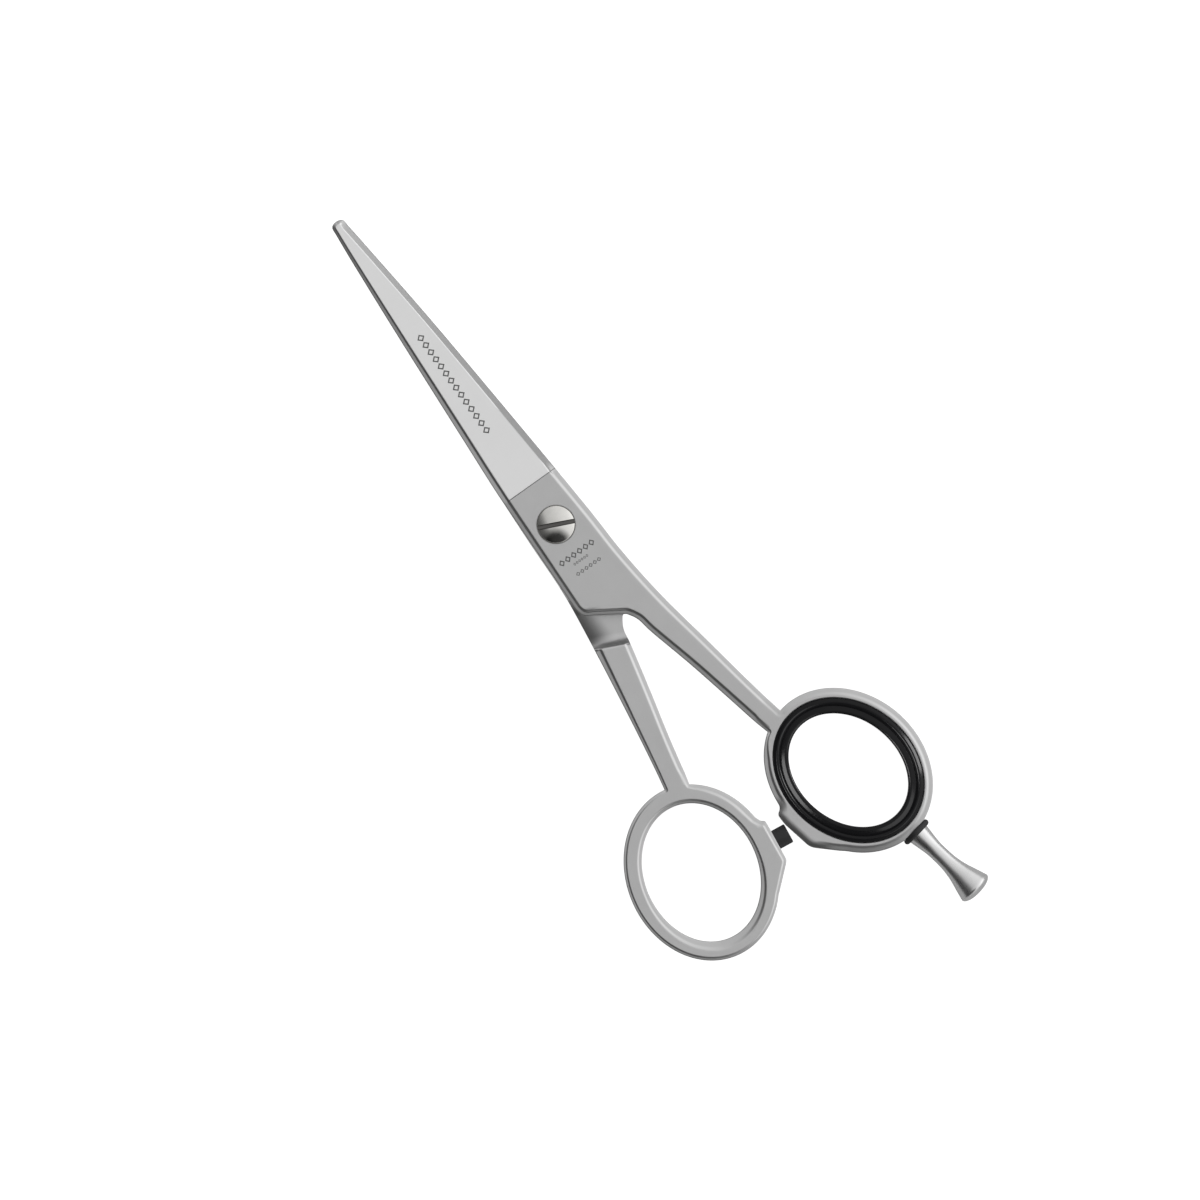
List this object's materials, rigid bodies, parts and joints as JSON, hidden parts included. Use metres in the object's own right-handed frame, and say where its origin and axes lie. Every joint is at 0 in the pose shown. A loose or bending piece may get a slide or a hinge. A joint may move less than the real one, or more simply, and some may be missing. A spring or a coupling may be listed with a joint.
{
  "type": "hair cutting shears",
  "caption": "Offset-ring hair cutting shears with slim bevelled blades, a slotted tension screw, a rubber ring insert, a rubber bumper and a screw-in finger rest.",
  "frame": {"origin": "on the pivot axis, in the flat back face of the thumb half", "axes": "+X towards the finger ring, +Y towards the blade tips, +Z along the pivot axis towards the screw head"},
  "size_m": [0.0553, 0.1535, 0.0064],
  "materials": {
    "satin_steel": "satin ground stainless steel with brighter blade faces",
    "bright_screw": "bright nickel plate, lightly worn at the slot",
    "turned_steel": "fine turned stainless steel",
    "bush_plastic": "natural nylon",
    "black_rubber": "soft black rubber with a low sheen"
  },
  "bodies": {
    "finger_side": {"front_half": "satin_steel", "pivot_bush": "bush_plastic", "finger_insert": "black_rubber"},
    "thumb_side": {"rear_half": "satin_steel", "bumper": "black_rubber"},
    "tension_screw": {"pivot_screw": "bright_screw"},
    "rest_washer": {"rest_washer": "black_rubber"},
    "finger_rest": {"finger_rest": "turned_steel"}
  },
  "joints": [
    {"name": "blades_open", "type": "hinge", "parent": "finger_side", "child": "thumb_side", "pos_m": [0, 0, 0.0025], "axis": [0, 0, -1], "range_deg": [0, 120]},
    {"name": "tension_turn", "type": "hinge", "parent": "thumb_side", "child": "tension_screw", "pos_m": [0, 0, 0.0025], "axis": [0, 0, 1], "range_deg": [-45, 90]},
    {"name": "rest_travel", "type": "slide", "parent": "finger_side", "child": "rest_washer", "axis": [0.1874, -0.9823, 0], "range_m": [0, 0.0018]},
    {"name": "rest_unscrew", "type": "hinge", "parent": "rest_washer", "child": "finger_rest", "pos_m": [0.01906, -0.0761, 0.0025], "axis": [0.1874, -0.9823, 0], "range_deg": [0, 1440]}
  ],
  "couplings": [
    {"joint": "rest_unscrew", "follows": "rest_travel", "rad_per_m": 13963}
  ]
}
